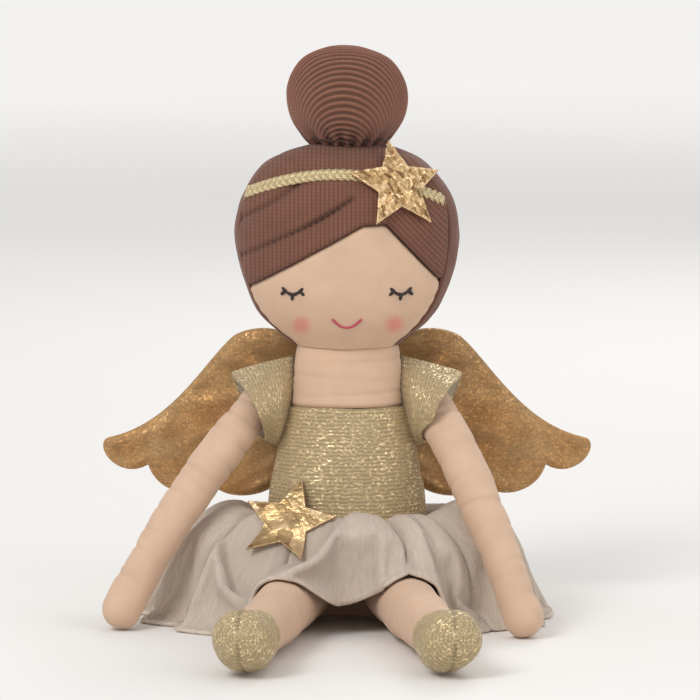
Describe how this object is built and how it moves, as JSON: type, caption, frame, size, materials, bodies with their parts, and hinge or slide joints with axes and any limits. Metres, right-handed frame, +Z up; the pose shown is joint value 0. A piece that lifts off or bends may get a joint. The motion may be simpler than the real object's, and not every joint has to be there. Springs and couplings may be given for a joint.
{
  "type": "plush angel doll",
  "caption": "Seated plush angel with a stuffed round head, knitted hair and bun, padded wings, soft arms and legs, and a gathered skirt.",
  "frame": {"origin": "middle of the seat, on the surface that the doll sits on", "axes": "+Z up the body to the bun, -Y the way the face looks, +X to the doll's left"},
  "size_m": [0.1622, 0.1765, 0.185],
  "materials": {
    "skin_cotton": "matte woven cotton",
    "hair_knit": "ribbed matte knit",
    "dress_lurex": "fine knit with metallic yarn",
    "skirt_gauze": "soft crinkled gauze",
    "wing_lame": "crinkled metallic cloth",
    "star_foil": "crinkled metallic foil cloth",
    "braid_trim": "narrow metallic braid",
    "stuffing": "loose fibre fill",
    "dark_thread": "embroidery thread",
    "pink_thread": "embroidery thread",
    "brown_thread": "sewing thread"
  },
  "bodies": {
    "torso": {"seat_panel": "skin_cotton", "bodice": "dress_lurex", "neck_panel": "skin_cotton", "body_stuffing": "stuffing", "skirt": "skirt_gauze", "belt_star": "star_foil", "wing_tab": "wing_lame", "left_sleeve": "dress_lurex", "right_sleeve": "dress_lurex"},
    "head": {"face_panel": "skin_cotton", "hair_front": "hair_knit", "hair_back": "hair_knit", "head_stuffing": "stuffing", "bun_cover": "hair_knit", "bun_stuffing": "stuffing", "bun_tie": "brown_thread", "headband": "braid_trim", "hair_star": "star_foil", "left_eye": "dark_thread", "right_eye": "dark_thread", "mouth": "pink_thread"},
    "left_arm": {"left_arm_cover": "skin_cotton", "left_arm_stuffing": "stuffing"},
    "left_leg": {"left_leg_cover": "skin_cotton", "left_slipper": "dress_lurex", "left_leg_stuffing": "stuffing"},
    "left_wing": {"left_wing_front": "wing_lame", "left_wing_wadding": "stuffing", "left_wing_back": "wing_lame"},
    "right_arm": {"right_arm_cover": "skin_cotton", "right_arm_stuffing": "stuffing"},
    "right_leg": {"right_leg_cover": "skin_cotton", "right_slipper": "dress_lurex", "right_leg_stuffing": "stuffing"},
    "right_wing": {"right_wing_front": "wing_lame", "right_wing_wadding": "stuffing", "right_wing_back": "wing_lame"}
  },
  "joints": [
    {"name": "head_tilt", "type": "hinge", "parent": "torso", "child": "head", "pos_m": [0, 0, 0.0767], "axis": [0, 1, 0], "range_deg": [-10, 10], "stiffness_Nm_per_rad": 0.12},
    {"name": "left_shoulder", "type": "hinge", "parent": "torso", "child": "left_arm", "pos_m": [0.02583, 0, 0.072], "axis": [0, -1, 0], "range_deg": [0, 95], "deforming": ["left_sleeve"]},
    {"name": "left_hip", "type": "hinge", "parent": "torso", "child": "left_leg", "pos_m": [0.0145, -0.015, 0.0099], "axis": [1, 0, 0], "range_deg": [0, 90]},
    {"name": "left_wing_flap", "type": "hinge", "parent": "torso", "child": "left_wing", "pos_m": [0.0055, 0.01895, 0.065], "axis": [0, 0, 1], "range_deg": [-5, 60], "stiffness_Nm_per_rad": 0.008},
    {"name": "right_shoulder", "type": "hinge", "parent": "torso", "child": "right_arm", "pos_m": [-0.02583, 0, 0.072], "axis": [0, 1, 0], "range_deg": [0, 95], "deforming": ["right_sleeve"]},
    {"name": "right_hip", "type": "hinge", "parent": "torso", "child": "right_leg", "pos_m": [-0.0145, -0.015, 0.0099], "axis": [1, 0, 0], "range_deg": [0, 90]},
    {"name": "right_wing_flap", "type": "hinge", "parent": "torso", "child": "right_wing", "pos_m": [-0.0055, 0.01895, 0.065], "axis": [0, 0, -1], "range_deg": [-5, 60], "stiffness_Nm_per_rad": 0.008}
  ]
}
